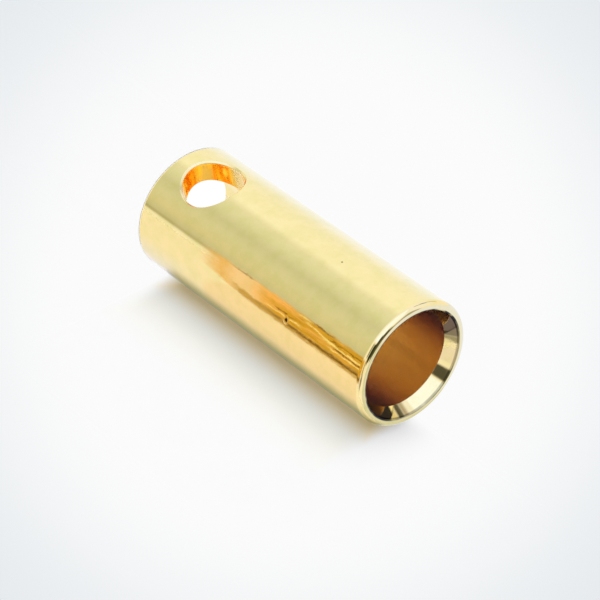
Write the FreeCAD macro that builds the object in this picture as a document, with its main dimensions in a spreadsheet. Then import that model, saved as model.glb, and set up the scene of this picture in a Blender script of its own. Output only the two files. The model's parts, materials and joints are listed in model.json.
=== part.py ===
import FreeCAD, Part
import math
import os
import Sketcher

# Socket half of a gold-plated bullet connector for a battery lead: one turned brass piece.
# It stands on its solder-cup end, with the socket's mouth up at +Z.
# The origin is the centre of the rear face, and the solder hole faces -Y.

doc = FreeCAD.newDocument("BatteryLeadSocket")

# Driving dimensions, in millimetres and degrees.
sizes = doc.addObject("Spreadsheet::Sheet", "Sizes")
drivingSizes = [
    ("socketDiameter", 6.1, "bore that takes the sprung 6 mm plug"),
    ("socketDepth", 12.0, "from the mouth to the flat floor of the socket"),
    ("socketWall", 0.95, "wall around the socket"),
    ("socketFloorRound", 0.3, "inside corner left by the boring tool"),
    ("leadWidening", 0.45, "how far the lead-in cone opens at the mouth, on the radius"),
    ("leadAngle", 60.0, "included angle of the lead-in cone"),
    ("septum", 0.84, "metal left between the socket's floor and the cup's drill point"),
    ("cupDiameter", 5.2, "bore that takes the tinned wire"),
    ("cupPointAngle", 118.0, "included angle of the drill point at the cup's bottom"),
    ("cupEdgeChamfer", 0.12, "broken edge at the cup's mouth"),
    ("rearBand", 1.25, "full ring of wall between the rear face and the solder hole"),
    ("solderHoleDiameter", 3.7, "cross-drilled hole through one wall of the cup"),
    ("cupPastHole", 0.65, "how far the cup's straight bore runs on past the solder hole"),
    ("solderHoleChamfer", 0.12, "broken outer edge of the solder hole"),
    ("rearEdgeRound", 0.2, "outer edge at the rear face"),
    ("mouthEdgeRound", 0.36, "outer edge at the mouth, rounded fully enough to shine as a line"),
    ("rimEdgeRound", 0.08, "edge between the rim and the lead-in cone"),
]

# Sizes that follow from the driving ones.
drivenSizes = [
    ("outerDiameter", "=socketDiameter + 2 * socketWall", "plain cylinder outside"),
    ("leadDiameter", "=socketDiameter + 2 * leadWidening", "lead-in cone at the mouth"),
    ("leadDepth", "=leadWidening / tan(leadAngle * 1deg / 2)", "lead-in cone along the axis"),
    ("rimWidth", "=socketWall - leadWidening", "flat ring of the mouth"),
    ("solderHoleHeight", "=rearBand + solderHoleDiameter / 2", "hole's axis above the rear face"),
    ("cupDepth", "=rearBand + solderHoleDiameter + cupPastHole", "cup's straight bore"),
    ("cupPointDepth", "=cupDiameter / 2 / tan(cupPointAngle * 1deg / 2)", "drill point beyond it"),
    ("socketFloorHeight", "=cupDepth + cupPointDepth + septum", "socket's floor above the rear face"),
    ("bodyLength", "=socketFloorHeight + socketDepth", "overall length"),
    ("mouthRound", "=min(mouthEdgeRound; 0.74 * rimWidth)", "outer round, kept within the rim"),
    ("rimRound", "=min(rimEdgeRound; 0.18 * rimWidth)", "inner round, kept within the rim"),
]

for row, (alias, value, note) in enumerate(drivingSizes + drivenSizes, start=1):
    sizes.set(f"A{row}", alias)
    sizes.set(f"B{row}", str(value))
    sizes.set(f"C{row}", note)
    sizes.setAlias(f"B{row}", alias)
doc.recompute()


def size(alias):
    return float(sizes.get(alias))


body = doc.addObject("PartDesign::Body", "SocketBody")
body.Label = "socket_body"
planes = {feature.Role: feature for feature in body.Origin.OriginFeatures}


def newSketch(name):
    # A sketch in the XZ plane: its X is the radius and its Y is the height above the rear face.
    sketch = body.newObject("Sketcher::SketchObject", name)
    sketch.AttachmentSupport = [(planes["XZ_Plane"], "")]
    sketch.MapMode = "FlatFace"
    return sketch


def valueOf(sketch, text):
    # What an expression over the sheet comes to, and zero for a coordinate on an axis.
    return 0.0 if text is None else float(sketch.evalExpression(text))


def lockCoordinate(sketch, item, point, kind, text, name):
    # Binds a point's X or Y to an expression over the sheet, or puts the point on the sketch's own axis.
    if text is None:
        axis = -2 if kind == "DistanceX" else -1
        sketch.addConstraint(Sketcher.Constraint("PointOnObject", item, point, axis))
        return
    number = sketch.addConstraint(Sketcher.Constraint(kind, -1, 1, item, point, valueOf(sketch, text)))
    sketch.renameConstraint(number, name)
    sketch.setExpression(f"Constraints.{name}", text)


def drawSection(name, corners):
    # A closed half section. Each corner is (radius, height), given as expressions over the sheet,
    # with None where the corner lies on the turning axis or on the rear face.
    sketch = newSketch(name)
    places = [[valueOf(sketch, text) for text in corner] for corner in corners]
    for place, following in zip(places, places[1:] + places[:1]):
        start = FreeCAD.Vector(*place, 0)
        end = FreeCAD.Vector(*following, 0)
        sketch.addGeometry(Part.LineSegment(start, end), False)
    for side in range(len(corners)):
        sketch.addConstraint(Sketcher.Constraint("Coincident", side, 2, (side + 1) % len(corners), 1))
    for side, (radius, height) in enumerate(corners):
        lockCoordinate(sketch, side, 1, "DistanceX", radius, f"radius{side}")
        lockCoordinate(sketch, side, 1, "DistanceY", height, f"height{side}")
    return sketch


def turn(kind, name, sketch):
    feature = body.newObject(kind, name)
    feature.Profile = sketch
    feature.ReferenceAxis = (sketch, ["V_Axis"])
    feature.Angle = 360
    doc.recompute()
    return feature


def breakEdges(kind, name, sizeProperty, alias, edges):
    # Rounds or chamfers these edges of the body's last feature.
    base = body.Tip
    feature = body.newObject(kind, name)
    feature.Base = (base, edges)
    feature.setExpression(sizeProperty, f"Sizes.{alias}")
    doc.recompute()
    return feature


def circleEdges(radius, height):
    # Names of the round edges about the axis with this radius and height.
    found = []
    for number, edge in enumerate(body.Tip.Shape.Edges, start=1):
        curve = edge.Curve
        if not isinstance(curve, Part.Circle) or abs(abs(curve.Axis.z) - 1) > 1e-6:
            continue
        if abs(curve.Radius - radius) < 1e-4 and abs(curve.Center.z - height) < 1e-4:
            found.append(f"Edge{number}")
    return found


def solderHoleEdges():
    # Names of the edges where the solder hole breaks out through the outer wall.
    reach = size("solderHoleDiameter") / 2
    centre = size("solderHoleHeight")
    found = []
    for number, edge in enumerate(body.Tip.Shape.Edges, start=1):
        if edge.Degenerated:
            continue
        points = edge.discretize(9)
        onWall = all(abs(math.hypot(p.x, p.y) - size("outerDiameter") / 2) < 1e-3 for p in points)
        onDrill = all(abs(math.hypot(p.x, p.z - centre) - reach) < 1e-3 for p in points)
        if onWall and onDrill:
            found.append(f"Edge{number}")
    return found


# Bar stock turned to the outside diameter and parted off to length.
bar = drawSection("BarSection", [
    (None, None),
    ("Sizes.outerDiameter / 2", None),
    ("Sizes.outerDiameter / 2", "Sizes.bodyLength"),
    (None, "Sizes.bodyLength"),
])
turn("PartDesign::Revolution", "TurnedBar", bar)

# Socket: a flat-bottomed bore that opens into the lead-in cone at the mouth.
socket = drawSection("SocketSection", [
    (None, "Sizes.socketFloorHeight"),
    ("Sizes.socketDiameter / 2", "Sizes.socketFloorHeight"),
    ("Sizes.socketDiameter / 2", "Sizes.bodyLength - Sizes.leadDepth"),
    ("Sizes.leadDiameter / 2", "Sizes.bodyLength"),
    (None, "Sizes.bodyLength"),
])
turn("PartDesign::Groove", "SocketBore", socket)

# Solder cup: drilled from the rear, with its drill point and a broken edge.
cup = drawSection("CupSection", [
    (None, None),
    ("Sizes.cupDiameter / 2 + Sizes.cupEdgeChamfer", None),
    ("Sizes.cupDiameter / 2", "Sizes.cupEdgeChamfer"),
    ("Sizes.cupDiameter / 2", "Sizes.cupDepth"),
    (None, "Sizes.cupDepth + Sizes.cupPointDepth"),
])
turn("PartDesign::Groove", "SolderCup", cup)

# Solder hole: drilled from the -Y side into the cup, through that wall only.
drill = newSketch("SolderHoleCircle")
drill.addGeometry(Part.Circle(FreeCAD.Vector(0, size("solderHoleHeight"), 0), FreeCAD.Vector(0, 0, 1),
                              size("solderHoleDiameter") / 2), False)
lockCoordinate(drill, 0, 3, "DistanceX", None, "holeAxis")
lockCoordinate(drill, 0, 3, "DistanceY", "Sizes.solderHoleHeight", "holeHeight")
diameterLock = drill.addConstraint(Sketcher.Constraint("Diameter", 0, size("solderHoleDiameter")))
drill.renameConstraint(diameterLock, "holeDiameter")
drill.setExpression("Constraints.holeDiameter", "Sizes.solderHoleDiameter")

volumeBefore = body.Shape.Volume
hole = body.newObject("PartDesign::Pocket", "SolderHole")
hole.Profile = drill
hole.setExpression("Length", "Sizes.outerDiameter")
hole.Reversed = True
doc.recompute()
if volumeBefore - body.Shape.Volume < 1:
    raise RuntimeError("the solder hole cut nothing")

# Edges: the boring tool's corner, the deburred solder hole, and the tumbled ends.
breakEdges("PartDesign::Fillet", "SocketFloorCorner", "Radius", "socketFloorRound",
           circleEdges(size("socketDiameter") / 2, size("socketFloorHeight")))
breakEdges("PartDesign::Chamfer", "SolderHoleEdge", "Size", "solderHoleChamfer", solderHoleEdges())
breakEdges("PartDesign::Fillet", "RearEdge", "Radius", "rearEdgeRound",
           circleEdges(size("outerDiameter") / 2, 0))
breakEdges("PartDesign::Fillet", "MouthEdge", "Radius", "mouthRound",
           circleEdges(size("outerDiameter") / 2, size("bodyLength")))
breakEdges("PartDesign::Fillet", "RimEdge", "Radius", "rimRound",
           circleEdges(size("leadDiameter") / 2, size("bodyLength")))

# Every object is sound before anything is written.
for item in doc.Objects:
    if "Invalid" in item.State or "Error" in item.State:
        raise RuntimeError(f"{item.Label} did not build: {item.State}")
if body.Shape.isNull() or not body.Shape.isValid() or len(body.Shape.Solids) != 1:
    raise RuntimeError("the socket body is not one sound solid")

box = body.Shape.optimalBoundingBox(False)
print(f"{body.Label}: {body.Shape.Volume:.1f} mm3")
print(f"box {box.XLength:.3f} x {box.YLength:.3f} x {box.ZLength:.3f} mm")

os.makedirs("parts", exist_ok=True)
body.Shape.exportStep(f"parts/{body.Label}.step")
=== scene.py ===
import json
import math

import bmesh
import bpy
from mathutils import Matrix, Vector

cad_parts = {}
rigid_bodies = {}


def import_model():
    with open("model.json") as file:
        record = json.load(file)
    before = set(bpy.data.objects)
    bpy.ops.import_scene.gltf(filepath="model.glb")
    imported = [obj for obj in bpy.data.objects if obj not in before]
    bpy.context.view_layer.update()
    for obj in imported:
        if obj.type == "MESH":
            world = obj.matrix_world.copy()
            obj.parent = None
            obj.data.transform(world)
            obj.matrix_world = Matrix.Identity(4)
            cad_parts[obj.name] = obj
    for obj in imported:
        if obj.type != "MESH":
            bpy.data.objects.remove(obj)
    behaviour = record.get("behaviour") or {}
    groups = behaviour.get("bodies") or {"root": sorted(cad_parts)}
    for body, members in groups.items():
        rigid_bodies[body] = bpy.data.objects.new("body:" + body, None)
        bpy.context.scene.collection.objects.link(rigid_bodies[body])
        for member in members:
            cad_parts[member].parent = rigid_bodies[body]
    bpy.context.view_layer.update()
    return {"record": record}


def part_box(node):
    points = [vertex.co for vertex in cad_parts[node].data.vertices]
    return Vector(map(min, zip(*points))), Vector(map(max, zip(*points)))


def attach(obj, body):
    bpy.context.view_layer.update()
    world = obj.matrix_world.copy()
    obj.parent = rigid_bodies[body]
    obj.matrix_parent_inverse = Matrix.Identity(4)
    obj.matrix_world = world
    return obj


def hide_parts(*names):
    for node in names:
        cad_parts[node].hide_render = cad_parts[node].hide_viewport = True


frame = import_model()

mm = 0.001
tiny = 1e-7        # places nearer than this are the same


def mountNamed(name):
    return next(m for m in frame["record"]["mounts"] if m["name"] == name)


# Sizes that the frame gives, in metres. The body is turned about Z and its solder hole faces -Y.
lowCorner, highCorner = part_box("socket_body")
outerRadius = (highCorner.x - lowCorner.x) / 2
bodyLength = highCorner.z
socketRadius = mountNamed("socket_bore")["dims"]["r_mm"] * mm
cupRadius = mountNamed("solder_cup")["dims"]["r_mm"] * mm
holeRadius = mountNamed("solder_hole")["dims"]["r_mm"] * mm
holeHeight = mountNamed("solder_hole")["pos_m"][2]

# Sizes of the turned body that the frame does not state, as its maker would draw them.
body = {
    "leadWidening": 0.45 * mm,     # lead-in cone at the mouth, on the radius
    "leadAngle": 60,               # its included angle
    "socketDepth": 12.0 * mm,
    "socketFloorRound": 0.3 * mm,
    "cupDepth": 5.6 * mm,
    "cupPointAngle": 118,
    "cupChamfer": 0.12 * mm,
    "holeChamfer": 0.12 * mm,
    "rearRound": 0.2 * mm,
    "mouthRound": 0.36 * mm,
    "rimRound": 0.08 * mm,
    "softEdge": 0.03 * mm,         # what tumbling leaves on every other edge
    "columns": 256,                # faces around
    "arcSteps": (4, 12),           # least and most faces along a rounding
    "arcSpacing": 0.02 * mm,
    "windowColumns": 40,           # half width of the patch around the solder hole, in columns
    "windowRows": 64,
    "outerWindow": (0.35 * mm, 1.0 * mm),    # it starts above the rear face and ends above the hole
    "cupWindow": (0.3 * mm, 0.15 * mm),      # it starts above the rear face and ends below the drill point
    "outerPatchRings": 14,         # from the patch's edge to the solder hole
    "cupPatchRings": 10,
    "patchCrowding": 1.6,          # above 1 the rings stand closer towards the hole
    "drilledRings": 12,
}


outerFinish, boreFinish, drilledFinish, cupFinish, brokenFinish = range(5)    # the body's material slots


def arcSteps(radius):
    fewest, most = body["arcSteps"]
    return max(fewest, min(most, int(radius / body["arcSpacing"])))


def turnedProfile():
    # The half section as points (radius, height) with their outward normals, from the cup's
    # drill point round the rear, up the outside and down the socket to the middle of its floor.
    leadDepth = body["leadWidening"] / math.tan(math.radians(body["leadAngle"] / 2))
    cupPoint = cupRadius / math.tan(math.radians(body["cupPointAngle"] / 2))
    socketFloor = bodyLength - body["socketDepth"]
    # Each corner's radius, height and rounding, and how far apart the rows stand after it.
    corners = [
        (0, body["cupDepth"] + cupPoint, 0, 0.3 * mm),
        (cupRadius, body["cupDepth"], body["softEdge"], 0.2 * mm),
        (cupRadius, body["cupChamfer"], body["softEdge"], 0.2 * mm),
        (cupRadius + body["cupChamfer"], 0, body["softEdge"], 0.15 * mm),
        (outerRadius, 0, body["rearRound"], 0.25 * mm),
        (outerRadius, bodyLength, body["mouthRound"], 0.15 * mm),
        (socketRadius + body["leadWidening"], bodyLength, body["rimRound"], 0.12 * mm),
        (socketRadius, bodyLength - leadDepth, body["softEdge"], 0.3 * mm),
        (socketRadius, socketFloor, body["socketFloorRound"], 0.3 * mm),
        (0, socketFloor, 0, 0.3 * mm),
    ]
    points = []
    cursor = Vector(corners[0][:2])
    for index in range(1, len(corners)):
        corner = Vector(corners[index][:2])
        rounding = corners[index][2]
        spacing = corners[index - 1][3]
        along = (corner - Vector(corners[index - 1][:2])).normalized()
        normal = Vector((along.y, -along.x))
        turn = reach = 0
        if index < len(corners) - 1:
            onward = (Vector(corners[index + 1][:2]) - corner).normalized()
            turn = math.atan2(along.x * onward.y - along.y * onward.x, along.dot(onward))
            reach = rounding * math.tan(abs(turn) / 2)
        straightEnd = corner - along * reach
        for place in straightPlaces(cursor, straightEnd, spacing):
            points.append((place.x, place.y, normal.x, normal.y))
        if turn:
            side = 1 if turn > 0 else -1
            centre = straightEnd + Vector((-along.y, along.x)) * side * rounding
            steps = arcSteps(rounding)
            for step in range(1, steps):
                angle = turn * step / steps
                spin = Matrix.Rotation(angle, 2)
                arm = spin @ (straightEnd - centre)
                bent = spin @ normal
                points.append((centre.x + arm.x, centre.y + arm.y, bent.x, bent.y))
            cursor = corner + onward * reach
    return points


def windowSpan(wallRadius):
    # Lowest and highest row of the patch around the solder hole, on the outside or in the cup.
    if wallRadius > cupRadius + tiny:
        low, above = body["outerWindow"]
        return low, holeHeight + holeRadius + above
    low, below = body["cupWindow"]
    return low, body["cupDepth"] - below


def straightPlaces(start, end, spacing):
    # Evenly spaced places from start to end, with the hole patch's own rows where a wall carries it.
    wall = abs(start.x - end.x) < tiny and abs(start.x - socketRadius) > tiny
    if not wall or abs(end.y - start.y) < 2 * holeRadius:
        return evenly(start, end, spacing)
    low, high = windowSpan(start.x)
    stops = [start.y, low, high, end.y] if start.y < end.y else [start.y, high, low, end.y]
    places = []
    for first, second in zip(stops, stops[1:]):
        inWindow = {first, second} == {low, high}
        step = (high - low) / body["windowRows"] if inWindow else spacing
        part = evenly(Vector((start.x, first)), Vector((start.x, second)), step)
        places += part if not places else part[1:]
    return places


def evenly(start, end, spacing):
    count = max(1, round((end - start).length / spacing))
    return [start.lerp(end, step / count) for step in range(count + 1)]


def turnedBodyMesh():
    # Quads all round, with a polar patch on both walls where the solder hole breaks through.
    profile = turnedProfile()
    columns = body["columns"]
    vertices, normals, faces, finishes = [], [], [], []
    grid = {}

    def addVertex(place, normal):
        vertices.append(place)
        normals.append(normal.normalized())
        return len(vertices) - 1

    def angleOf(column):
        # Column zero faces -Y, where the solder hole is.
        return -math.pi / 2 + 2 * math.pi * column / columns

    def onGrid(row, column):
        radius, height, outward, upward = profile[row]
        key = (row, column % columns if radius > tiny else 0)
        if key not in grid:
            angle = angleOf(key[1])
            around = Vector((math.cos(angle), math.sin(angle), 0))
            place = around * radius + Vector((0, 0, height))
            grid[key] = addVertex(place, around * outward + Vector((0, 0, upward)))
        return grid[key]

    def addFace(corners, finish):
        distinct = [c for place, c in enumerate(corners) if c != corners[place - 1]]
        faces.append(distinct)
        finishes.append(finish)

    rims = {}
    half = body["windowColumns"]
    # The cup's finish ends on its chamfer, and the bore's begins where the lead-in cone ends.
    mouthRow = next(row for row, point in enumerate(profile)
                    if point[1] > bodyLength - tiny and point[3] > 0.999)
    rearRow = next(row for row, point in enumerate(profile) if point[0] > cupRadius * 1.01)
    for wallRadius in (cupRadius, outerRadius):
        low, high = windowSpan(wallRadius)
        rows = [row for row, point in enumerate(profile)
                if abs(point[0] - wallRadius) < tiny and low - tiny <= point[1] <= high + tiny]
        rims[wallRadius] = (rows[0], rows[-1])

    def inWindow(row, column):
        beside = column < half or column >= columns - half
        return beside and any(first <= row < last for first, last in rims.values())

    for row in range(len(profile) - 1):
        if row < rearRow:
            finish = cupFinish
        elif row > mouthRow and profile[row][0] < socketRadius * 1.001:
            finish = boreFinish
        else:
            finish = outerFinish
        for column in range(columns):
            if not inWindow(row, column):
                addFace([onGrid(row, column), onGrid(row, column + 1),
                         onGrid(row + 1, column + 1), onGrid(row + 1, column)], finish)

    def border(wallRadius):
        # Vertices round the patch's edge, counter-clockwise as seen from outside.
        first, last = rims[wallRadius]
        low, high = (first, last) if profile[first][1] < profile[last][1] else (last, first)
        climb = 1 if high > low else -1
        keys = [(low, column) for column in range(-half, half)]
        keys += [(row, half) for row in range(low, high, climb)]
        keys += [(high, column) for column in range(half, -half, -1)]
        keys += [(row, -half) for row in range(high, low, -climb)]
        return keys

    def onWall(wallRadius, angle, height):
        return Vector((wallRadius * math.sin(angle), -wallRadius * math.cos(angle), height))

    def drillPoint(angle, reach, wallRadius, sink):
        # A point at this angle round the drill's axis, sunk under the wall's surface.
        across = reach * math.cos(angle)
        depth = math.sqrt(wallRadius ** 2 - across ** 2) - sink
        return Vector((across, -depth, holeHeight + reach * math.sin(angle)))

    outerKeys = border(outerRadius)
    drillAngles = []
    for row, column in outerKeys:
        around = 2 * math.pi * column / columns * outerRadius
        drillAngles.append(math.atan2(profile[row][1] - holeHeight, around))

    def patchRings(wallRadius, reach, side, steps):
        # Rings from the patch's edge to the edge of the drilled hole, last one at the hole.
        keys = border(wallRadius)
        rings = [[onGrid(row, column) for row, column in keys]]
        for step in range(1, steps + 1):
            share = 1 - (1 - step / steps) ** body["patchCrowding"]
            ring = []
            for (row, column), drillAngle in zip(keys, drillAngles):
                edgeAngle = math.asin(reach * math.cos(drillAngle) / wallRadius)
                edgeHeight = holeHeight + reach * math.sin(drillAngle)
                startAngle = 2 * math.pi * column / columns
                angle = startAngle + (edgeAngle - startAngle) * share
                height = profile[row][1] + (edgeHeight - profile[row][1]) * share
                place = onWall(wallRadius, angle, height)
                ring.append(addVertex(place, Vector((place.x, place.y, 0)) * side))
            rings.append(ring)
        return rings

    def drillRing(reach, wallRadius, sink, blend, side):
        # blend 0 is the drilled wall's own normal, 1 the wall's that it breaks through.
        ring = []
        for angle in drillAngles:
            place = drillPoint(angle, reach, wallRadius, sink)
            bore = Vector((-math.cos(angle), 0, -math.sin(angle)))
            wall = Vector((place.x, place.y, 0)).normalized() * side
            ring.append(addVertex(place, bore.lerp(wall, blend)))
        return ring

    def skin(rings, finish):
        for ring, following in zip(rings, rings[1:]):
            for place in range(len(ring)):
                after = (place + 1) % len(ring)
                addFace([ring[place], ring[after], following[after], following[place]], finish)

    chamfer = body["holeChamfer"]
    edge = body["softEdge"]
    outerRings = patchRings(outerRadius, holeRadius + chamfer + edge / 2, 1, body["outerPatchRings"])
    skin(outerRings, outerFinish)
    chamferRings = [outerRings[-1]]
    for share in (0.9, 0.5, 0.1):
        reach = holeRadius + chamfer * share + edge * 0.25
        chamferRings.append(drillRing(reach, outerRadius, chamfer * (1 - share), 0.5, 1))
    cupRings = patchRings(cupRadius, holeRadius + edge, -1, body["cupPatchRings"])
    wallRings = [drillRing(holeRadius, outerRadius, chamfer * 1.2, 0, 1)]
    topRing = wallRings[-1]
    lowRing = drillRing(holeRadius, cupRadius, -edge * 1.5, 0, -1)
    steps = body["drilledRings"]
    for step in range(1, steps):
        ring = []
        for top, low, angle in zip(topRing, lowRing, drillAngles):
            place = vertices[top].lerp(vertices[low], step / steps)
            ring.append(addVertex(place, Vector((-math.cos(angle), 0, -math.sin(angle)))))
        wallRings.append(ring)
    wallRings += [lowRing, drillRing(holeRadius + edge * 0.3, cupRadius, -edge * 0.3, 0.5, -1), cupRings[-1]]
    skin(chamferRings + wallRings[:2], brokenFinish)
    skin(wallRings[1:], drilledFinish)
    skin(cupRings, cupFinish)

    mesh = bpy.data.meshes.new("goldSocketBody")
    mesh.from_pydata(vertices, [], faces)
    for polygon, finish in zip(mesh.polygons, finishes):
        polygon.material_index = finish
        polygon.use_smooth = True
    tidy = bmesh.new()
    tidy.from_mesh(mesh)
    bmesh.ops.recalc_face_normals(tidy, faces=tidy.faces)
    openEdges = sum(1 for e in tidy.edges if len(e.link_faces) != 2)
    print("turned body:", len(vertices), "vertices,", len(faces), "faces,", openEdges, "open edges")
    tidy.to_mesh(mesh)
    tidy.free()
    mesh.normals_split_custom_set_from_vertices([tuple(n) for n in normals])
    return mesh


print("turned body")
goldBody = bpy.data.objects.new("goldSocketBody", turnedBodyMesh())
bpy.context.scene.collection.objects.link(goldBody)


# Nodes shared by the finishes and the stage
class NodeSheet:
    # Short names for adding and joining nodes.
    def __init__(self, tree):
        self.tree = tree

    def add(self, kind, **settings):
        node = self.tree.nodes.new(kind)
        for name, value in settings.items():
            setattr(node, name, value)
        return node

    def feed(self, socket, value):
        # A number or colour sets the socket, and another node's output is joined to it.
        if isinstance(value, bpy.types.NodeSocket):
            self.tree.links.new(value, socket)
        elif isinstance(value, tuple) and len(value) == 3 and socket.type == "RGBA":
            socket.default_value = (*value, 1)
        else:
            socket.default_value = value

    def feedNamed(self, node, **values):
        for name, value in values.items():
            self.feed(node.inputs[name], value)
        return node.outputs

    def fill(self, kind, *values, **settings):
        # Adds a node with its first inputs given in order.
        node = self.add(kind, **settings)
        for socket, value in zip(node.inputs, values):
            self.feed(socket, value)
        return node.outputs

    def info(self, kind, output):
        return self.add("ShaderNode" + kind).outputs[output]

    def math(self, operation, *values):
        return self.fill("ShaderNodeMath", *values, operation=operation)[0]

    def plus(self, first, second):
        return self.math("ADD", first, second)

    def minus(self, first, second):
        return self.math("SUBTRACT", first, second)

    def times(self, first, second):
        return self.math("MULTIPLY", first, second)

    def larger(self, first, second):
        return self.math("MAXIMUM", first, second)

    def inverse(self, mask):
        return self.math("SUBTRACT", 1, mask)

    def length(self, x, y):
        return self.math("SQRT", self.plus(self.times(x, x), self.times(y, y)))

    def smooth(self, value, low, high):
        # 0 below low, 1 above high, and smooth between.
        return self.fill("ShaderNodeMapRange", value, low, high, interpolation_type="SMOOTHSTEP")["Result"]

    def fading(self, value, low, high):
        return self.inverse(self.smooth(value, low, high))

    def span(self, value, low, high, soft):
        # 1 between low and high, with soft ends.
        rising = self.smooth(value, self.minus(low, soft), self.plus(low, soft))
        return self.times(rising, self.fading(value, self.minus(high, soft), self.plus(high, soft)))

    def mixColor(self, share, first, second, blend="MIX"):
        node = self.add("ShaderNodeMix", data_type="RGBA", blend_type=blend)
        self.feed(node.inputs["Factor"], share)
        self.feed(node.inputs[6], first)
        self.feed(node.inputs[7], second)
        return node.outputs[2]

    def mixShader(self, share, first, second):
        return self.fill("ShaderNodeMixShader", share, first, second)[0]

    def emission(self, color):
        return self.fill("ShaderNodeEmission", color)[0]

    def surface(self, shader):
        self.feed(self.tree.nodes["Material Output"].inputs["Surface"], shader)

    def noise(self, vector, scale, detail=2.0, roughness=0.5):
        node = self.add("ShaderNodeTexNoise")
        return self.feedNamed(node, Vector=vector, Scale=scale, Detail=detail, Roughness=roughness)["Fac"]

    def combine(self, x, y, z):
        return self.fill("ShaderNodeCombineXYZ", x, y, z)[0]

    def split(self, vector):
        return self.fill("ShaderNodeSeparateXYZ", vector)

    def ramp(self, value, stops):
        node = self.add("ShaderNodeValToRGB")
        self.feed(node.inputs[0], value)
        elements = node.color_ramp.elements
        while len(elements) > 1:
            elements.remove(elements[-1])
        for number, (position, color) in enumerate(stops):
            element = elements[0] if number == 0 else elements.new(position)
            element.position = position
            element.color = (*color, 1)
        return node.outputs["Color"]

    def use(self, group, **values):
        return self.feedNamed(self.add("ShaderNodeGroup", node_tree=group), **values)


def newGroup(name, inputs, outputs):
    # inputs and outputs map a socket's name to its kind.
    group = bpy.data.node_groups.new(name, "ShaderNodeTree")
    kinds = {"value": "NodeSocketFloat", "vector": "NodeSocketVector", "color": "NodeSocketColor"}
    for socket, kind in inputs.items():
        group.interface.new_socket(name=socket, in_out="INPUT", socket_type=kinds[kind])
    for socket, kind in outputs.items():
        group.interface.new_socket(name=socket, in_out="OUTPUT", socket_type=kinds[kind])
    sheet = NodeSheet(group)
    return sheet, sheet.add("NodeGroupInput").outputs, sheet.add("NodeGroupOutput").inputs


def newMaterial(name):
    material = bpy.data.materials.new(name)
    material.use_nodes = True
    return material, NodeSheet(material.node_tree), material.node_tree.nodes["Principled BSDF"]


def toolMarksGroup():
    # Height of fine turning rings, of slow waves in the metal and of stray hairlines along it.
    sheet, given, wanted = newGroup(
        "toolMarks",
        {"Vector": "vector", "Rings": "value", "Waves": "value", "Hairlines": "value"},
        {"Height": "value"},
    )
    x, y, z = sheet.split(given["Vector"])
    across = sheet.length(x, y)
    spread = gold["ringSpread"]
    rings = sheet.combine(sheet.times(across, spread), 0, sheet.times(z, spread))
    rings = sheet.noise(rings, gold["ringScale"], 3.0)
    waves = sheet.noise(given["Vector"], gold["waveScale"], 1.0)
    hairRound = sheet.times(sheet.math("ARCTAN2", x, y), gold["hairRound"])
    hair = sheet.noise(sheet.combine(hairRound, sheet.times(z, gold["hairAlong"]), across), 3.0, 4.0, 0.7)
    total = sheet.times(rings, given["Rings"])
    total = sheet.plus(total, sheet.times(waves, given["Waves"]))
    total = sheet.plus(total, sheet.times(hair, given["Hairlines"]))
    sheet.feed(wanted["Height"], total)
    return sheet.tree


def goldToneGroup():
    # Plating that is a little paler and a little deeper in patches.
    sheet, given, wanted = newGroup(
        "goldTone",
        {"Vector": "vector", "Pale": "color", "Deep": "color", "Scale": "value"},
        {"Color": "color"},
    )
    cloud = sheet.smooth(sheet.noise(given["Vector"], given["Scale"], 4.0, 0.6), *gold["toneClouds"])
    sheet.feed(wanted["Color"], sheet.mixColor(cloud, given["Pale"], given["Deep"]))
    return sheet.tree


def pitGroup():
    # A small pit in the plate: its dark middle and the raised lip around it.
    sheet, given, wanted = newGroup(
        "platePit",
        {"Vector": "vector", "Centre": "vector", "Radius": "value"},
        {"Hollow": "value", "Lip": "value"},
    )
    away = sheet.fill("ShaderNodeVectorMath", given["Vector"], given["Centre"], operation="DISTANCE")["Value"]
    ragged = sheet.times(sheet.noise(given["Vector"], gold["pitRagged"], 2.0), 0.8)
    share = sheet.math("DIVIDE", away, given["Radius"])
    share = sheet.plus(share, sheet.minus(ragged, 0.4))
    sheet.feed(wanted["Hollow"], sheet.fading(share, *gold["pitHollow"]))
    rising = sheet.smooth(share, *gold["pitLipRises"])
    sheet.feed(wanted["Lip"], sheet.times(rising, sheet.fading(share, *gold["pitLipFalls"])))
    return sheet.tree


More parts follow.
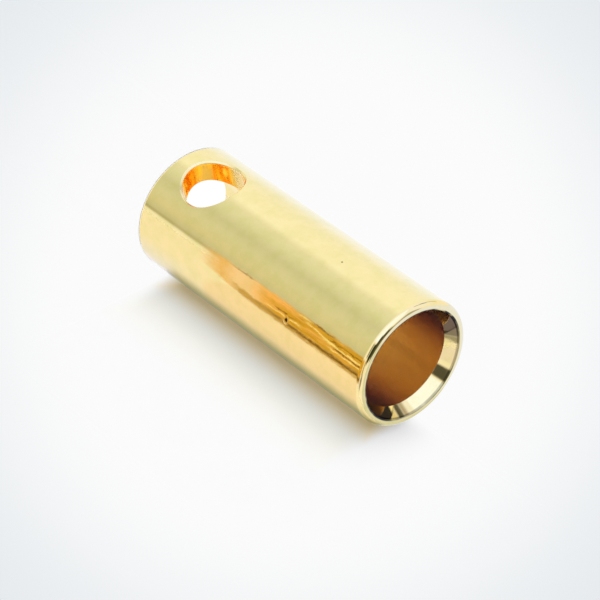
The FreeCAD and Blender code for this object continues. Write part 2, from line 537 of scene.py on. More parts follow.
# Gold plate
gold = {
    "pale": (1.0, 0.802, 0.385),
    "deep": (0.935, 0.768, 0.335),
    "roughness": (0.045, 0.09),        # on the outside, least and most
    # Painted light: the bore's plating is paler and bluer, and the drilled wall's deeper orange, than the
    # outside's, so that light mirrored many times inside comes out at the right hue and brightness.
    "borePale": (0.945, 0.80, 0.55),
    "boreDeep": (0.93, 0.78, 0.52),
    "boreGrazed": (0.79, 0.67, 0.67),   # painted shade: the bore's darker colour where light skims along it
    "drilledPale": (0.92, 0.645, 0.21),
    "drilledDeep": (0.88, 0.595, 0.17),
    "boreRoughness": (0.18, 0.24),
    "drilledRoughness": (0.14, 0.2),
    "cupRoughness": (0.07, 0.12),
    "brokenRoughness": (0.26, 0.32),
    "ringScale": 1000,                  # turning rings, waves and hairlines: larger is finer
    "ringSpread": 40,
    "waveScale": 420,
    "hairRound": 26,
    "hairAlong": 260,
    "toneScale": 1100.0,
    "toneClouds": (0.35, 0.7),          # noise values over which the deeper tone comes in
    "scuffScale": 1500,
    "scuffs": (0.4, 0.75),
    "grazing": (0.2, 0.65),             # facing values over which the bore's painted grazing shade comes in
    "bumpDepth": 1e-6,
    "edgeLine": (3.425 * mm, 3.525 * mm),     # painted shade: a dark line standing in for the shade and dark reflection where the rim breaks into the lead-in cone
    "edgeLineColor": (0.03, 0.025, 0.018),
    "edgeLineSide": 30,                 # where it is strongest, in degrees from -Y towards +X
    "edgeLineFaint": 0.5,               # how much of it is left on the far side of the mouth
    "edgeLineWider": 0.045 * mm,        # how much further out it reaches where it is strongest
    "edgeLineGrows": (-2.6 * mm, -0.6 * mm),    # distances towards that side between which it grows
    "edgeLineSoft": 0.02 * mm,
    "edgeLineDeep": 0.2 * mm,           # how far down into the cone it may reach
    "edgeLineWear": 900,
    "edgeLineWorn": (0.25, 0.5),
    "pits": [                           # azimuth from -Y towards +X, height, radius, darkness
        (61.3, 13.48 * mm, 0.125 * mm, 1.0),
        (-6.9, 14.15 * mm, 0.065 * mm, 0.9),
        (107.1, 9.27 * mm, 0.04 * mm, 0.4),
    ],
    "pitColor": (0.012, 0.004, 0.001),
    "pitRoughness": 0.2,
    "pitRagged": 9000,
    "pitHollow": (0.6, 1.1),            # distances from its middle, in its radius
    "pitLipRises": (1.0, 1.5),
    "pitLipFalls": (1.6, 2.3),
    "pitDepth": 4,                      # in bump depths
    "pitLip": 6,
}


toolMarks = toolMarksGroup()
goldTone = goldToneGroup()
platePit = pitGroup()


def paintedRimShade(sheet, place):
    # Painted shade: a thin dark ring on the mouth's inner edge, strong and wide on one side and faint on the
    # other.
    x, y, z = sheet.split(place)
    across = sheet.length(x, y)
    angle = math.radians(gold["edgeLineSide"])
    towards = sheet.minus(sheet.times(x, math.sin(angle)), sheet.times(y, math.cos(angle)))
    near = sheet.smooth(towards, *gold["edgeLineGrows"])
    soft = gold["edgeLineSoft"]
    lineFrom, lineTo = gold["edgeLine"]
    rise = sheet.smooth(across, lineFrom - soft, lineFrom + soft)
    reached = sheet.minus(across, sheet.times(near, gold["edgeLineWider"]))
    line = sheet.times(rise, sheet.fading(reached, lineTo - soft, lineTo + soft))
    line = sheet.times(line, sheet.math("GREATER_THAN", z, bodyLength - gold["edgeLineDeep"]))
    strength = sheet.plus(gold["edgeLineFaint"], sheet.times(near, 1 - gold["edgeLineFaint"]))
    # Noise breaks the painted shade line into pieces.
    lineBreaks = sheet.smooth(sheet.noise(place, gold["edgeLineWear"], 3.0), *gold["edgeLineWorn"])
    return sheet.times(line, sheet.times(lineBreaks, strength))


def goldMaterial(name, pale, deep, roughness, marks, pits=(), grazed=None, burnt=False):
    material, sheet, shader = newMaterial(name)
    place = sheet.info("TexCoord", "Object")
    color = sheet.use(goldTone, Vector=place, Pale=pale, Deep=deep, Scale=gold["toneScale"])["Color"]
    rings, waves, hairlines = marks
    height = sheet.use(toolMarks, Vector=place, Rings=rings, Waves=waves, Hairlines=hairlines)["Height"]
    scuff = sheet.smooth(sheet.noise(place, gold["scuffScale"], 5.0, 0.65), *gold["scuffs"])
    leastRough, mostRough = roughness
    rough = sheet.plus(leastRough, sheet.times(scuff, mostRough - leastRough))
    for azimuth, level, radius, darkness in pits:
        angle = math.radians(azimuth)
        centre = (outerRadius * math.sin(angle), -outerRadius * math.cos(angle), level)
        pit = sheet.use(platePit, Vector=place, Centre=centre, Radius=radius)
        shade = sheet.times(pit["Hollow"], darkness)
        color = sheet.mixColor(shade, color, gold["pitColor"])
        rough = sheet.plus(rough, sheet.times(shade, gold["pitRoughness"]))
        height = sheet.minus(height, sheet.times(pit["Hollow"], gold["pitDepth"] * darkness))
        height = sheet.plus(height, sheet.times(pit["Lip"], gold["pitLip"] * darkness))
    # Painted shade: the colour darkens where the surface is seen at a grazing angle.
    if grazed:
        facing = sheet.info("LayerWeight", "Facing")
        color = sheet.mixColor(sheet.smooth(facing, *gold["grazing"]), color, grazed)
    # Painted shade: a dark line on the mouth's inner edge.
    if burnt:
        color = sheet.mixColor(paintedRimShade(sheet, place), color, gold["edgeLineColor"])
    bump = sheet.add("ShaderNodeBump")
    bump.inputs["Distance"].default_value = gold["bumpDepth"]
    sheet.feed(bump.inputs["Height"], height)
    for socket, value in (("Base Color", color), ("Roughness", rough), ("Normal", bump.outputs["Normal"])):
        sheet.feed(shader.inputs[socket], value)
    shader.inputs["Metallic"].default_value = 1
    return material


# One finish for each material slot, in the slots' order: its name, colours, roughness and marks. The bore's
# and the drilled wall's colours are painted light: the same plating shifted paler and deeper orange.
for name, tone, roughness, marks, extras in (
    ("goldOutside", "", "roughness", (0.12, 10.0, 0.5), {"pits": gold["pits"], "burnt": True}),
    ("goldBore", "bore", "boreRoughness", (0.2, 0.8, 0.1), {"grazed": gold["boreGrazed"]}),
    ("goldDrilled", "drilled", "drilledRoughness", (0.2, 0.5, 0.1), {}),
    ("goldCup", "", "cupRoughness", (0.2, 1.2, 0.1), {}),
    ("goldBrokenEdge", "", "brokenRoughness", (0.2, 1.2, 0.1), {}),
):
    pale = gold[tone + "Pale" if tone else "pale"]
    deep = gold[tone + "Deep" if tone else "deep"]
    goldBody.data.materials.append(goldMaterial(name, pale, deep, gold[roughness], marks, **extras))
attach(goldBody, "root")
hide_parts("socket_body")
goldBody.visible_diffuse = False
print("gold plate")


# Camera: the photograph's angle onto the socket, rolled as the socket lies in it.
view = {
    "azimuth": 29.9,       # degrees round from -Y towards +X
    "elevation": 37.61,
    "roll": 125.61,
    "distance": 167.05 * mm,
    "target": Vector((0.418, 0.701, 10.519)) * mm,
    "focalLength": 173.03,
    "sensorWidth": 36,
    "clip": (0.005, 10),
    "width": 600,          # pixels of the photograph
}


def photoAxes():
    # Directions from the target to the camera, to the picture's right and to its top.
    azimuth = math.radians(view["azimuth"])
    elevation = math.radians(view["elevation"])
    outward = Vector((math.sin(azimuth), -math.cos(azimuth), 0))
    back = outward * math.cos(elevation) + Vector((0, 0, math.sin(elevation)))
    right = Vector((0, 0, 1)).cross(back).normalized()
    top = back.cross(right)
    roll = math.radians(view["roll"])
    rolledTop = top * math.cos(roll) - right * math.sin(roll)
    rolledRight = right * math.cos(roll) + top * math.sin(roll)
    return back, rolledRight, rolledTop


backward, pictureRight, pictureTop = photoAxes()
cameraData = bpy.data.cameras.new("photoCamera")
cameraData.lens = view["focalLength"]
cameraData.sensor_width = view["sensorWidth"]
cameraData.clip_start, cameraData.clip_end = view["clip"]
camera = bpy.data.objects.new("photoCamera", cameraData)
turn = Matrix((pictureRight, pictureTop, backward)).transposed()
camera.matrix_world = Matrix.Translation(view["target"] + backward * view["distance"]) @ turn.to_4x4()
bpy.context.scene.collection.objects.link(camera)
bpy.context.scene.camera = camera


# Floor, and the sheet that the lying socket rests on
stage = {
    "paper": 0.965,
    "corner": (0.79, 0.825, 0.85),     # painted shade: the paper's darker tone far from the socket, in the picture's corners
    "cornerFade": (220, 450),          # pixels of the photograph, from its middle
    "fadeReach": (0.3, 0.9),           # metres from the photograph's viewpoint, beyond its picture
    "floorSize": 4.0,
    "floorShadow": (3.2 * mm, 4.2 * mm),      # half width of the shadow that the floor carries
    # glow of the painted light on the paper under the cup
    "seenThroughHole": 1.0,
    "restAzimuth": -9.6,               # the side that the photograph has on top, from -Y towards +X
    "sheetSize": 4.0,
    "sheetFades": (70 * mm, 160 * mm),  # distances from the socket over which it ends for the camera
    "farSide": (-0.5 * mm, 1.0 * mm),   # beyond the contact line, away from the shadow
    "rearEnd": (0, 2.0 * mm),           # heights over which the painted gold light comes in from the socket's rear end
    # painted gold light on the paper beside the socket, and further out a trace of it
    "contactTint": (1.0, 0.785, 0.375),
    "tintBeside": (1.6 * mm, 3.8 * mm),
    "tintEnd": (18.5 * mm, 20.0 * mm),
    "traceTint": (1.0, 0.985, 0.905),
    "traceBeside": (3.6 * mm, 8 * mm),
    "shadowStart": (-0.2 * mm, 1.8 * mm),
    "shadowBeyond": (9 * mm, 14 * mm),
    "mouthShadow": (18.6 * mm, 20.2 * mm),
    "mouthShadowCut": 0.6,
    "mirroredFrom": 2.0 * mm,           # the socket mirrors the sheet only beyond this
    "mirroredSlant": 1.3,               # how fast that moves outwards above the mouth
    "mirroredSoft": (-0.4 * mm, 0.6 * mm),
    "mirroredTop": (21.6 * mm, 23 * mm),        # above this the socket mirrors the tent, not the sheet
    "mirroredEnd": (-0.4 * mm, 0.8 * mm),       # past the mouth the mirrored sheet is bright
    # painted shade and light that the socket mirrors: dim near the contact, cool at the rear end, warm along
    # the middle
    "mirroredDim": (0.55, 0.56, 0.38),
    "dimBeside": (2.7 * mm, 5.5 * mm),
    "mirroredCool": (0.91, 0.95, 1.18),
    "coolBeside": (3 * mm, 9 * mm),
    "coolEnd": (0, 1.5 * mm),
    "mirroredGlow": (0.95, 0.86, 0.78),
    "glowFrom": 5.4 * mm,
    "glowSlant": 0.45,
    "glowSoft": (-0.5 * mm, 0.7 * mm),
    "glowEnd": (17.0 * mm, 18.5 * mm),
}
paperColor = (stage["paper"],) * 3


def planeMesh(name, size):
    half = size / 2
    mesh = bpy.data.meshes.new(name)
    corners = [(-half, -half, 0), (half, -half, 0), (half, half, 0), (-half, half, 0)]
    mesh.from_pydata(corners, [], [(0, 1, 2, 3)])
    return mesh


def stageObject(name, mesh, material, hiddenFrom):
    # A thing on the stage that takes no part in these kinds of light.
    thing = bpy.data.objects.new(name, mesh)
    mesh.materials.append(material)
    bpy.context.scene.collection.objects.link(thing)
    for kind in hiddenFrom:
        setattr(thing, "visible_" + kind, False)
    return thing


def mattMaterial(name):
    material, sheet, shader = newMaterial(name)
    material.cycles.emission_sampling = "NONE"
    shader.inputs["Roughness"].default_value = 1
    shader.inputs["Specular IOR Level"].default_value = 0
    return material, sheet, shader


def namedRamps(sheet, values):
    # Two short ways to a ramp up or down over a range that the dictionary names.
    def rises(value, name):
        return sheet.smooth(value, *values[name])

    def falls(value, name):
        return sheet.fading(value, *values[name])

    return rises, falls


def cornerFadeGroup():
    # How far a place has faded into the painted shade of the picture's corner, from its angle off the line of
    # sight.
    sheet, given, wanted = newGroup("cornerFade", {"Vector": "vector"}, {"Fade": "value"})
    eye = view["target"] + backward * view["distance"]
    seen = sheet.fill("ShaderNodeVectorMath", given["Vector"], tuple(eye), operation="SUBTRACT")["Vector"]
    depth = sheet.fill("ShaderNodeVectorMath", seen, tuple(-backward), operation="DOT_PRODUCT")["Value"]
    reach = sheet.fill("ShaderNodeVectorMath", seen, operation="LENGTH")["Value"]
    cosine = sheet.math("DIVIDE", depth, reach)
    tangent = sheet.math("TANGENT", sheet.math("ARCCOSINE", cosine))
    pixels = sheet.times(tangent, view["focalLength"] / view["sensorWidth"] * view["width"])
    near = sheet.fading(reach, *stage["fadeReach"])
    sheet.feed(wanted["Fade"], sheet.times(sheet.smooth(pixels, *stage["cornerFade"]), near))
    return sheet.tree


cornerFade = cornerFadeGroup()


def floorMaterial():
    material, sheet, shader = mattMaterial("paleFloor")
    # Painted shade: the paper darkens towards the picture's corners.
    share = sheet.use(cornerFade, Vector=sheet.info("NewGeometry", "Position"))["Fade"]
    seen = sheet.mixColor(share, paperColor, stage["corner"])
    sheet.feed(shader.inputs["Base Color"], seen)
    x, y, z = sheet.split(sheet.info("TexCoord", "Object"))
    # The shadow lies straight behind the standing socket, and clean paper on both sides of it.
    sideways = Vector((backward.x, backward.y)).normalized()
    lateral = sheet.minus(sheet.times(x, -sideways.y), sheet.times(y, -sideways.x))
    clean = sheet.smooth(sheet.math("ABSOLUTE", lateral), *stage["floorShadow"])
    surface = sheet.mixShader(clean, shader.outputs[0], sheet.emission(seen))
    # Painted light: the paper under the open cup glows white where it shows through the solder hole.
    underCup = sheet.math("LESS_THAN", sheet.length(x, y), cupRadius + body["cupChamfer"])
    sheet.surface(sheet.mixShader(underCup, surface, sheet.emission((stage["seenThroughHole"],) * 3)))
    return material


floor = stageObject("paleFloor", planeMesh("paleFloor", stage["floorSize"]), floorMaterial(),
                    ("glossy", "diffuse", "shadow"))

restAngle = math.radians(stage["restAzimuth"])
restUp = Vector((math.sin(restAngle), -math.cos(restAngle), 0))
restSide = Vector((0, 0, 1)).cross(restUp)


def sheetMaterial():
    material, sheet, shader = mattMaterial("restSheet")
    rises, falls = namedRamps(sheet, stage)
    x, y, z = sheet.split(sheet.info("TexCoord", "Object"))
    beside = sheet.math("ABSOLUTE", x)
    level = sheet.plus(y, bodyLength / 2)
    past = sheet.larger(sheet.minus(sheet.math("ABSOLUTE", y), bodyLength / 2), 0)
    away = sheet.length(past, beside)
    start = falls(level, "rearEnd")
    farSide = falls(x, "farSide")
    # Painted gold light beside the socket, but not past its ends, and further out a painted trace of it.
    ends = sheet.larger(rises(level, "tintEnd"), sheet.larger(start, farSide))
    plain = sheet.larger(rises(x, "tintBeside"), ends)
    untraced = sheet.larger(rises(x, "traceBeside"), ends)
    goldLight, goldTrace = (tuple(stage["paper"] * channel for channel in stage[name])
                   for name in ("contactTint", "traceTint"))
    # Painted shade: the paper darkens towards the picture's corners, as on the floor.
    corner = sheet.use(cornerFade, Vector=sheet.info("NewGeometry", "Position"))["Fade"]
    around = sheet.mixColor(untraced, goldTrace, sheet.mixColor(corner, paperColor, stage["corner"]))
    seen = sheet.mixColor(plain, goldLight, around)
    # Painted shade and light that only mirrored rays see: the socket mirrors it dim near the contact, cool at
    # the rear end and warm along the middle.
    glowFrom = sheet.minus(stage["glowFrom"], sheet.times(beside, stage["glowSlant"]))
    warm = sheet.times(rises(sheet.minus(level, glowFrom), "glowSoft"), falls(level, "glowEnd"))
    cool = sheet.times(falls(beside, "coolBeside"), falls(level, "coolEnd"))
    cooled = sheet.mixColor(cool, paperColor, stage["mirroredCool"])
    mouthFrom, mouthTo = (bodyLength + offset for offset in stage["mirroredEnd"])
    beyond = sheet.larger(sheet.smooth(level, mouthFrom, mouthTo), start)
    bright = sheet.larger(rises(beside, "dimBeside"), beyond)
    glow = sheet.mixColor(warm, cooled, stage["mirroredGlow"])
    mirrored = sheet.mixColor(bright, stage["mirroredDim"], glow)
    direct = sheet.info("LightPath", "Is Camera Ray")
    sheet.feed(shader.inputs["Base Color"], sheet.mixColor(direct, mirrored, seen))
    # Seen from its front only, and mirrored only on its lower left and not far above the mouth.
    above = sheet.larger(sheet.minus(level, mouthTo), 0)
    inward = sheet.minus(sheet.minus(x, stage["mirroredFrom"]), sheet.times(above, stage["mirroredSlant"]))
    unseen = sheet.larger(falls(inward, "mirroredSoft"), rises(level, "mirroredTop"))
    gone = sheet.times(rises(away, "sheetFades"), direct)
    hidden = sheet.larger(gone, sheet.info("NewGeometry", "Backfacing"))
    hidden = sheet.larger(hidden, sheet.times(unseen, sheet.inverse(direct)))
    # The camera sees the shadow on the lower left of the socket, and clean paper elsewhere.
    shaded = sheet.times(sheet.inverse(farSide), rises(level, "shadowStart"))
    pastMouth = sheet.times(rises(level, "mouthShadow"), stage["mouthShadowCut"])
    shaded = sheet.times(shaded, sheet.inverse(pastMouth))
    shaded = sheet.times(shaded, falls(away, "shadowBeyond"))
    clean = sheet.times(sheet.inverse(shaded), direct)
    surface = sheet.mixShader(clean, shader.outputs[0], sheet.emission(seen))
    sheet.surface(sheet.mixShader(hidden, surface, sheet.info("BsdfTransparent", "BSDF")))
    return material


restSheet = stageObject("restSheet", planeMesh("restSheet", stage["sheetSize"]), sheetMaterial(),
                        ("shadow", "diffuse"))
restTurn = Matrix((restSide, Vector((0, 0, 1)), restUp)).transposed()
restPlace = Vector((0, 0, bodyLength / 2)) - restUp * outerRadius
restSheet.matrix_world = Matrix.Translation(restPlace) @ restTurn.to_4x4()
print("floor and rest sheet")


# Lamps: a level of 1 shows paper as it is written
lamps = {
    "floorLevel": 0.5,
    "floorFill": 0.5,
    "fillSoftness": 5,
    "away": 0.3,                 # metres from the origin at which the lamps stand
    "floorElevation": 64,
    "floorSoftness": 4,
    "sheetFill": 0.28,
    "sheetSoftness": 24,
    "sheetTip": 8,               # degrees towards the rear end
    "sheetLeans": [              # degrees towards the picture's lower left, and level
        (-17, 0.11),
        (-1, 0.165),
        (15, 0.17),
        (31, 0.165),
        (47, 0.11),
    ],
}


def sun(name, towards, level, softness, incidence, receiver, castsShadow=True):
    data = bpy.data.lights.new(name, "SUN")
    data.energy = math.pi * level / incidence
    data.angle = math.radians(softness)
    data.use_shadow = castsShadow
    data.cycles.use_multiple_importance_sampling = False
    lamp = bpy.data.objects.new(name, data)
    lamp.rotation_mode = "QUATERNION"
    lamp.rotation_quaternion = towards.to_track_quat("Z", "Y")
    lamp.location = towards * lamps["away"]
    lamp.visible_glossy = False
    receivers = bpy.data.collections.new(name + "Lights")
    receivers.objects.link(receiver)
    lamp.light_linking.receiver_collection = receivers
    bpy.context.scene.collection.objects.link(lamp)


floorAngle = math.radians(lamps["floorElevation"])
towardsCamera = Vector((backward.x, backward.y, 0)).normalized()
floorLight = towardsCamera * math.cos(floorAngle) + Vector((0, 0, math.sin(floorAngle)))
sun("floorSun", floorLight, lamps["floorLevel"], lamps["floorSoftness"], floorLight.z, floor)
sun("floorFill", Vector((0, 0, 1)), lamps["floorFill"], lamps["fillSoftness"], 1, floor, castsShadow=False)
tip = Vector((0, 0, -math.tan(math.radians(lamps["sheetTip"]))))
for number, (degrees, level) in enumerate(lamps["sheetLeans"]):
    sheetLight = (restUp + restSide * math.tan(math.radians(degrees)) + tip).normalized()
    sun(f"sheetSun{number}", sheetLight, level, lamps["sheetSoftness"], sheetLight.dot(restUp), restSheet)
sun("sheetFill", restUp, lamps["sheetFill"], lamps["fillSoftness"], 1, restSheet, castsShadow=False)
print("lamps")


# Light tent that the gold mirrors, by degrees round from the camera and degrees up
tent = {
    "walls": [                       # what the socket's side mirrors
        (-180, (1.0, 1.05, 1.15)),
        (-135, (0.96, 1.07, 1.38)),
        (-112, (0.95, 1.02, 1.12)),
        (-84, (0.98, 1.05, 1.11)),
        (-60, (0.98, 1.06, 1.13)),
        (-48, (0.82, 0.89, 0.90)),
        (-34, (0.75, 0.84, 0.80)),
        (-14, (0.64, 0.70, 0.64)),
        (4, (0.70, 0.76, 0.68)),
        (24, (0.71, 0.73, 0.61)),
        (37, (0.60, 0.64, 0.56)),
        (41, (0.57, 0.57, 0.46)),
        (44, (0.93, 0.98, 1.0)),
        (120, (0.98, 1.0, 1.05)),
        (180, (1.0, 1.05, 1.15)),
    ],
    "roof": (0.98, 1.0, 1.08),
    "roofFrom": (-26, -14),          # degrees up over which the walls give way to it
    "ground": (1.0, 1.0, 1.0),
    "groundFrom": (-62, -50),
    "softEdge": 2.5,
    "panels": [                      # name, degrees round from and to, degrees up from and to, light
        ("softBox", -114, 5, -16, 64, (0.95, 1.03, 1.35)),
        ("softBoxCore", -66, 4, 3, 58, (1.02, 1.22, 1.85)),
        ("sky", -181, 181, 74, 91, (0.12, 0.12, 0.10)),
        ("leftShade", -146, -86, 52, 76, (0.45, 0.45, 0.48)),
        ("highShade", -50, 64, 64, 78, (0.06, 0.06, 0.05)),
        ("middleShade", -14, 60, 54, 70, (0.05, 0.06, 0.03)),
        ("rightShade", 9, 50, 38, 62, (0.03, 0.04, 0.02)),
        ("brownStrip", 70, 92, 27, 50, (0.34, 0.32, 0.30)),
        ("amberStrip", 38, 68, 28, 46, (0.58, 0.45, 0.17)),
        ("cameraShade", 8, 32, 17, 30, (0.09, 0.09, 0.08)),
        ("cornerShade", 39.5, 44, -45, -39.6, (0.44, 0.45, 0.34)),
        ("creamCard", 42, 82, -6, 24, (0.87, 0.87, 1.0)),
        ("greyCard", 82, 94, -6, 18, (0.34, 0.34, 0.32)),
        ("brownShade", 94, 116, -10, 18, (0.24, 0.23, 0.28)),
        ("goldCard", -116, -98, -4, 8, (0.80, 0.72, 0.55)),
        ("lowShade", -98, -86, 4, 12, (0.10, 0.10, 0.08)),
        ("lowHaze", -86, -76, 7, 15, (0.45, 0.42, 0.42)),
        ("hazeLeft", -181, -138, -22, 68, (0.86, 0.98, 1.5)),
        ("hazeRight", 138, 181, -22, 68, (0.70, 0.78, 0.85)),
    ],
    "insidePanels": [                # the same, only for light that the gold mirrors more than once
        ("mouthShade", -104, -34, 9, 46, (0.03, 0.03, 0.08)),
        ("duskShade", 28, 112, 12, 50, (0.17, 0.18, 0.55)),
    ],
    "boreLight": (1.7, 1.57, 1.05),    # how much more light reaches the depth of the bore
    "wobble": 1.5,                   # degrees that the edges of walls and panels wander
    "wobbleScale": 7.0,
    "wallWobble": 0.6,               # share of the wobble that the walls take
}


def tentPanelGroup():
    # 1 inside a window of directions, with soft edges.
    sheet, given, wanted = newGroup(
        "tentPanel",
        dict.fromkeys(("Round", "Up", "Left", "Right", "Low", "High", "Soft"), "value"),
        {"Mask": "value"},
    )

    across = sheet.span(given["Round"], given["Left"], given["Right"], given["Soft"])
    upwards = sheet.span(given["Up"], given["Low"], given["High"], given["Soft"])
    sheet.feed(wanted["Mask"], sheet.times(across, upwards))
    return sheet.tree


def lightTent():
    world = bpy.data.worlds.new("lightTent")
    bpy.context.scene.world = world
    world.use_nodes = True
    sheet = NodeSheet(world.node_tree)
    direction = sheet.info("TexCoord", "Generated")
    x, y, z = sheet.split(direction)
    heading = sheet.math("ARCTAN2", x, sheet.times(y, -1))
    turned = sheet.minus(sheet.times(heading, 180 / math.pi), view["azimuth"])
    around = sheet.math("WRAP", turned, 180.0, -180.0)
    up = sheet.times(sheet.math("ARCSINE", z), 180 / math.pi)
    wander = sheet.minus(sheet.noise(direction, tent["wobbleScale"], 3.0), 0.5)
    wander = sheet.times(wander, tent["wobble"] * 2)
    waveredAround = sheet.plus(around, wander)
    waveredUp = sheet.plus(up, wander)
    wallAround = sheet.plus(around, sheet.times(wander, tent["wallWobble"]))
    share = sheet.math("DIVIDE", sheet.plus(wallAround, 180), 360)
    color = sheet.ramp(share, [((degrees + 180) / 360, light) for degrees, light in tent["walls"]])
    color = sheet.mixColor(sheet.smooth(up, *tent["roofFrom"]), color, tent["roof"])
    color = sheet.mixColor(sheet.smooth(up, *tent["groundFrom"]), tent["ground"], color)
    panel = tentPanelGroup()

    def windowMask(left, right, low, high):
        window = dict(Left=left, Right=right, Low=low, High=high, Soft=tent["softEdge"])
        return sheet.use(panel, Round=waveredAround, Up=waveredUp, **window)["Mask"]

    for name, left, right, low, high, light in tent["panels"]:
        color = sheet.mixColor(windowMask(left, right, low, high), color, light)
    # Light that the gold mirrors twice or more, and then three times or more.
    depth = sheet.info("LightPath", "Glossy Depth")
    again = sheet.math("GREATER_THAN", depth, 1.5)
    for name, left, right, low, high, light in tent["insidePanels"]:
        color = sheet.mixColor(sheet.times(windowMask(left, right, low, high), again), color, light)
    color = sheet.mixColor(sheet.math("GREATER_THAN", depth, 2.5), color, tent["boreLight"], "MULTIPLY")
    color = sheet.mixColor(sheet.info("LightPath", "Is Camera Ray"), color, paperColor)
    sheet.feed(world.node_tree.nodes["Background"].inputs["Color"], color)
    world.cycles_visibility.diffuse = False


lightTent()
print("light tent")


# Amber card: an orange object out of the picture, which the socket's side mirrors as a long streak
amber = {
    "radius": 9 * mm,
    "round": (21, 69),           # degrees round from the camera
    "height": (0.5 * mm, 21.5 * mm),
    "columns": 48,
    # Places below are those of the socket's side that mirrors the card: degrees round from the
    # camera, and millimetres up. The socket mirrors the card's own degrees and heights like this.
    "mirroredRound": (17, 26.83, 1.619),    # the socket's degrees, the card's, and card degrees for one
    "mirroredUp": (4.49 * mm, 1.04 * mm),   # height to add, and card height for a millimetre
    "upperEdge": (16.8, 20.0),
    "lowerEdge": 33.5,
    "lowerEdgeSoft": (-1.5, 1.2),
    "lowerEdgeWidens": 4.0,
    "widensOver": (6.0, 10.0),
    "fineGrain": (0.55, 1.6, 0, 5.0, 0.7),      # scale round, scale up, seed, detail and roughness
    "broadGrain": (0.16, 0.3, 3, 2.0, 0.5),
    "brushedGrain": (1.1, 0.6, 7, 4.0, 0.7),
    "raggedness": 6.0,
    "start": (5.0, 7.6),
    "startRagged": 0.3,
    "startMiddle": 26,                # the degrees round at which it starts lowest
    "startLags": 0.03,
    "creamFrom": (7.2, 8.8),
    "orangeFrom": (9.6, 11.6),
    "goldFrom": (10.4, 12.6),
    "goldBelow": (21.0, 25.0),
    "allGoldFrom": (13.0, 15.5),
    "goldPatches": (0.25, 0.5),       # grain values
    "streaksFrom": (9.0, 13.5),
    "darkStreaks": (0.3, 0.5),
    "lightStreaks": (0.56, 0.68),
    "oliveBorder": (-6.5, -4.5),      # degrees from the lower edge
    "oliveFrom": (7.8, 9.2),
    "brownLine": (-4.6, -2.2, 0.9),   # the same, and its softness
    "brownFrom": (8.5, 15.0),
    "brownBroken": (0.6, 0.8),
    "brownFills": 0.02,
    "soft": (0.88, 0.60, 0.30),
    "cream": (0.95, 0.76, 0.60),
    "orange": (0.99, 0.58, 0.22),
    "gold": (0.69, 0.42, 0.05),
    "deep": (0.50, 0.28, 0.03),
    "olive": (0.62, 0.43, 0.17),
    "brown": (0.22, 0.12, 0.02),
    "bright": (1.02, 0.90, 0.50),
    # Each line's place round the socket in degrees, its drift per millimetre, its half width,
    # and the heights in millimetres between which it runs.
    "brightLines": [(20.0, -0.6, 0.9, 14.3, 16.2), (22.0, 1.2, 0.7, 15.0, 18.0), (25.0, 0.1, 0.7, 16.4, 20.5),
                    (28.6, 0.1, 0.6, 17.0, 20.5), (29.5, -0.3, 0.6, 11.5, 14.5)],
    "darkLines": [(19.0, 0.0, 0.6, 8.4, 10.2), (19.2, 0.0, 0.8, 15.2, 17.2), (22.6, -0.3, 0.6, 17.0, 20.5),
                  (26.8, 0.1, 0.6, 17.3, 20.5), (27.0, -0.4, 0.5, 12.2, 14.0)],
}


def amberMesh():
    columns = amber["columns"]
    start, end = (math.radians(view["azimuth"] + degrees) for degrees in amber["round"])
    vertices = []
    for column in range(columns + 1):
        angle = start + (end - start) * column / columns
        for height in amber["height"]:
            vertices.append((amber["radius"] * math.sin(angle), -amber["radius"] * math.cos(angle), height))
    faces = [(2 * c, 2 * c + 2, 2 * c + 3, 2 * c + 1) for c in range(columns)]
    mesh = bpy.data.meshes.new("amberCard")
    mesh.from_pydata(vertices, [], faces)
    return mesh


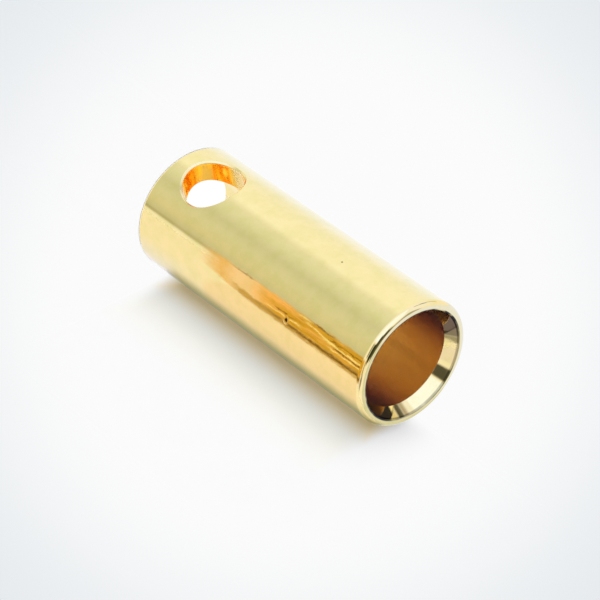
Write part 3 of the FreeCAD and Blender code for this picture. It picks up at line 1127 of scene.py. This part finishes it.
def amberMaterial():
    material, sheet, shader = newMaterial("amberCard")
    sheet.tree.nodes.remove(shader)
    x, y, z = sheet.split(sheet.info("TexCoord", "Object"))
    heading = sheet.times(sheet.math("ARCTAN2", x, sheet.times(y, -1)), 180 / math.pi)
    around = sheet.minus(heading, view["azimuth"])
    rises, falls = namedRamps(sheet, amber)
    socketDegrees, cardDegrees, spread = amber["mirroredRound"]
    lift, stretch = amber["mirroredUp"]
    turned = sheet.plus(socketDegrees, sheet.math("DIVIDE", sheet.minus(around, cardDegrees), spread))
    raised = sheet.math("DIVIDE", sheet.plus(z, lift), stretch)

    def grain(name):
        roundScale, upScale, seed, detail, roughness = amber[name]
        place = sheet.combine(sheet.times(turned, roundScale), sheet.times(raised, upScale), seed)
        return sheet.noise(place, 1.0, detail, roughness)

    fine = grain("fineGrain")
    brushed = grain("brushedGrain")
    ragged = sheet.times(sheet.minus(fine, 0.5), amber["raggedness"])
    edge = sheet.plus(turned, ragged)

    def line(place, slope, width, low, high):
        # A thin line that starts at this place round the socket and wanders off with height.
        drift = sheet.times(sheet.minus(raised, low), slope)
        off = sheet.math("ABSOLUTE", sheet.minus(sheet.minus(edge, place), drift))
        return sheet.times(sheet.fading(off, width * 0.4, width), sheet.span(raised, low, high, 0.4))

    widened = sheet.times(rises(raised, "widensOver"), amber["lowerEdgeWidens"])
    belowEdge = sheet.minus(edge, sheet.plus(amber["lowerEdge"], widened))
    inside = sheet.times(rises(edge, "upperEdge"), falls(belowEdge, "lowerEdgeSoft"))
    start = sheet.plus(raised, sheet.times(ragged, amber["startRagged"]))
    offMiddle = sheet.math("ABSOLUTE", sheet.minus(turned, amber["startMiddle"]))
    start = sheet.minus(start, sheet.times(offMiddle, amber["startLags"]))
    inside = sheet.times(inside, rises(start, "start"))
    color = sheet.mixColor(rises(start, "creamFrom"), amber["soft"], amber["cream"])
    color = sheet.mixColor(rises(start, "orangeFrom"), color, amber["orange"])
    deeper = sheet.times(rises(raised, "goldFrom"), rises(edge, "goldBelow"))
    deeper = sheet.larger(deeper, rises(raised, "allGoldFrom"))
    deeper = sheet.times(deeper, rises(grain("broadGrain"), "goldPatches"))
    color = sheet.mixColor(deeper, color, amber["gold"])
    # Fine streaks along the card, dark and light, towards its upper end.
    upper = rises(raised, "streaksFrom")
    color = sheet.mixColor(sheet.times(falls(brushed, "darkStreaks"), upper), color, amber["deep"])
    color = sheet.mixColor(sheet.times(rises(brushed, "lightStreaks"), upper), color, amber["orange"])
    for place, slope, width, low, high in amber["brightLines"]:
        color = sheet.mixColor(line(place, slope, width, low, high), color, amber["bright"])
    # A dark ragged line along its lower edge, with a tan border below.
    olive = sheet.times(rises(belowEdge, "oliveBorder"), rises(start, "oliveFrom"))
    color = sheet.mixColor(olive, color, amber["olive"])
    brown = sheet.times(sheet.span(belowEdge, *amber["brownLine"]), rises(raised, "brownFrom"))
    filled = sheet.plus(fine, sheet.times(raised, amber["brownFills"]))
    brown = sheet.times(brown, rises(filled, "brownBroken"))
    color = sheet.mixColor(brown, color, amber["brown"])
    for place, slope, width, low, high in amber["darkLines"]:
        color = sheet.mixColor(line(place, slope, width, low, high), color, amber["brown"])
    clear = sheet.info("BsdfTransparent", "BSDF")
    sheet.surface(sheet.mixShader(inside, clear, sheet.emission(color)))
    return material


amberCard = stageObject("amberCard", amberMesh(), amberMaterial(),
                        ("camera", "diffuse", "shadow", "transmission"))
print("amber card")

# The bores send light to and fro many times before it leaves them.
bpy.context.scene.cycles.max_bounces = 16
bpy.context.scene.cycles.glossy_bounces = 16
bpy.context.scene.view_settings.view_transform = "Standard"
